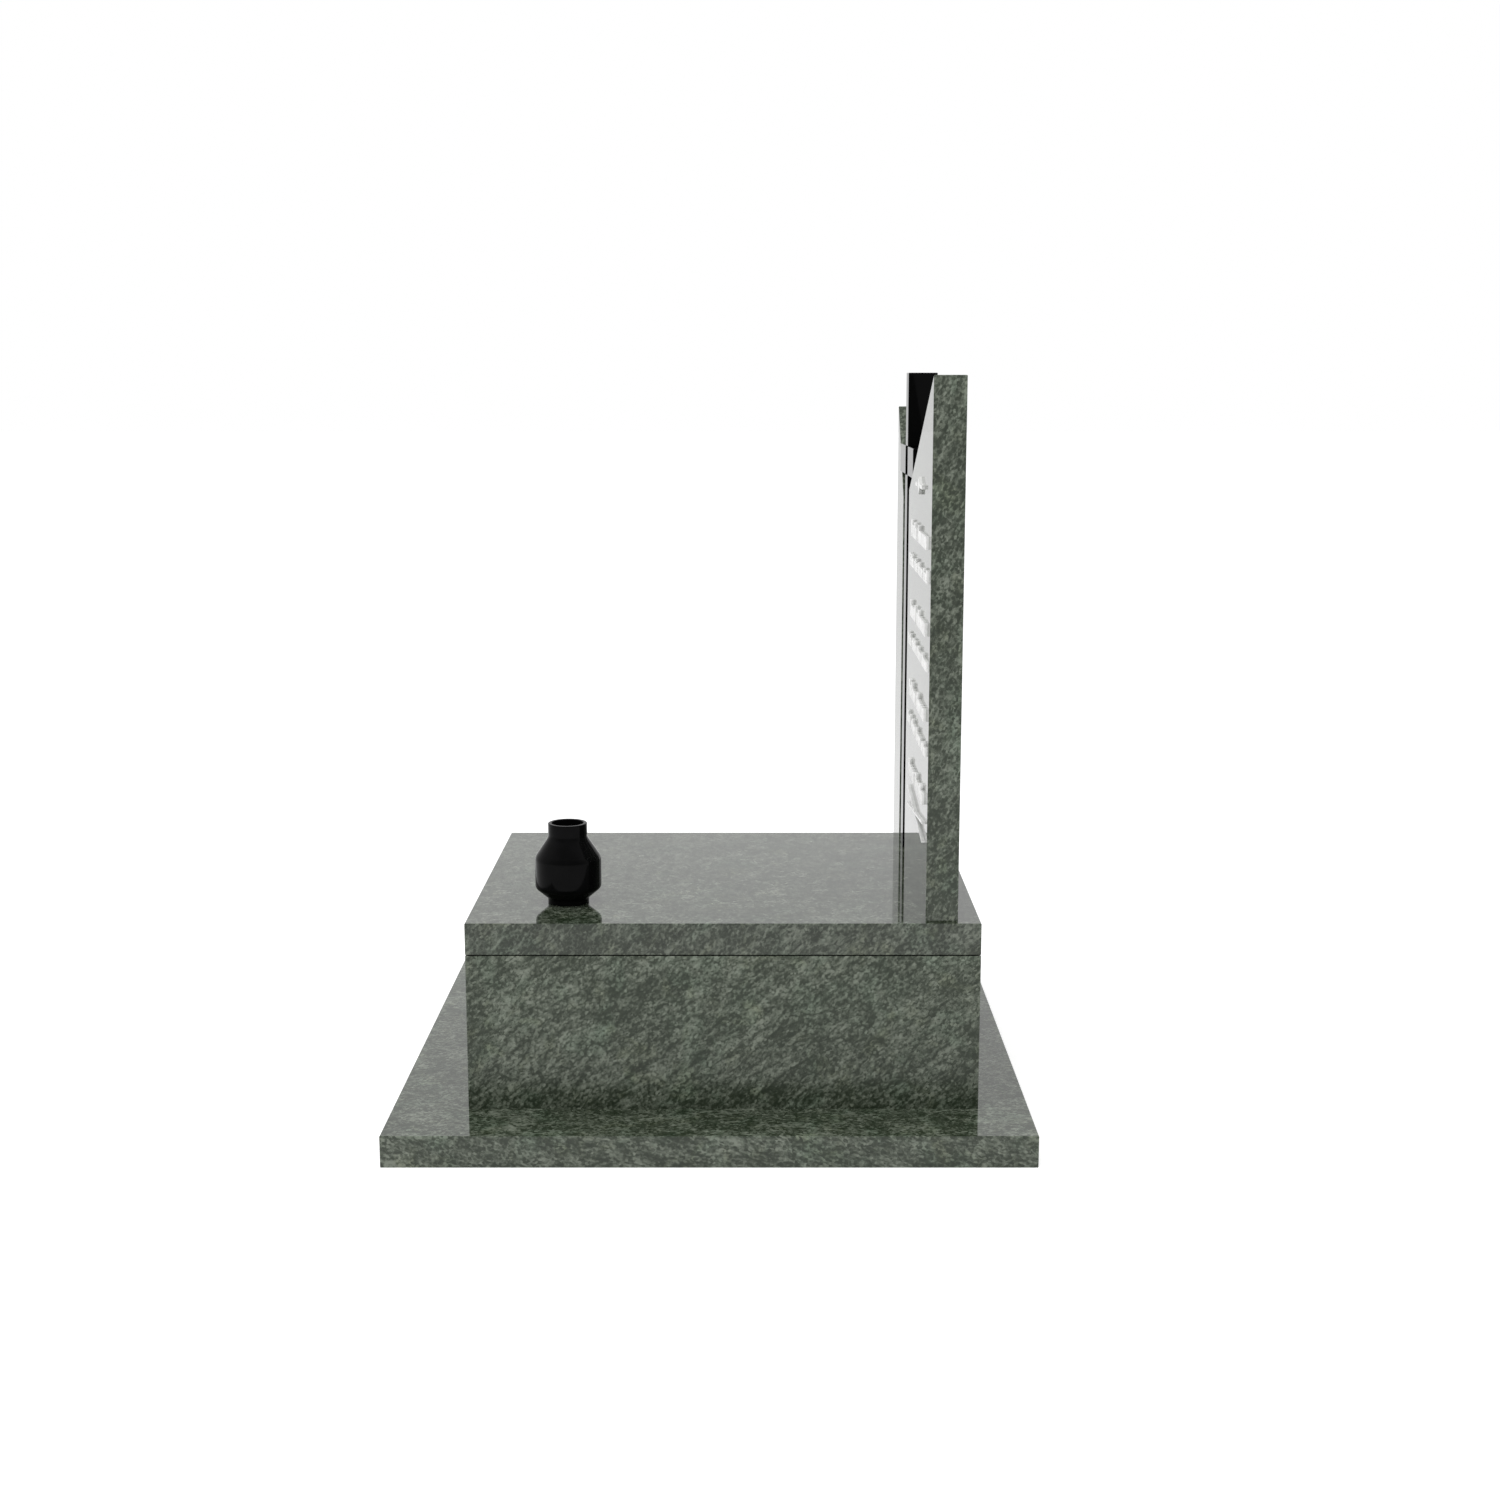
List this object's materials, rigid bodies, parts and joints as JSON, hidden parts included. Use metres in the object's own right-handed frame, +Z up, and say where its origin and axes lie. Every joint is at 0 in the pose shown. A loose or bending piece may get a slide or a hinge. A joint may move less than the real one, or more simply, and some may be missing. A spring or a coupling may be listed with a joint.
{
  "type": "urn grave headstone",
  "caption": "Urn grave monument: walled stone chamber with a cover slab, two upright steles with sloping tops, a free-standing cross between them and a vase.",
  "frame": {"origin": "centre of the base plate's underside, on the ground", "axes": "+Z up; the grave's front faces -Y; +X is the side of the inscribed right stele"},
  "size_m": [1, 1, 1.188],
  "materials": {
    "green_granite": "polished mottled granite",
    "black_granite": "polished black granite",
    "joint_sealant": "matt",
    "raised_metal": "satin",
    "vase_glaze": "gloss black glaze"
  },
  "bodies": {
    "root": {"base_plate": "green_granite", "right_wall": "green_granite", "left_wall": "green_granite", "front_wall": "green_granite", "rear_wall": "green_granite", "bedding_joint": "joint_sealant", "cover_slab": "green_granite", "right_stele": "green_granite", "left_stele": "green_granite", "lower_post": "black_granite", "upper_post": "black_granite", "right_arm": "black_granite", "left_arm": "black_granite", "cross_core": "black_granite", "emblem": "raised_metal", "line_1": "raised_metal", "line_2": "raised_metal", "line_3": "raised_metal", "line_4": "raised_metal", "line_5": "raised_metal", "line_6": "raised_metal", "line_7": "raised_metal", "ornament": "raised_metal", "vase": "vase_glaze"}
  },
  "joints": []
}
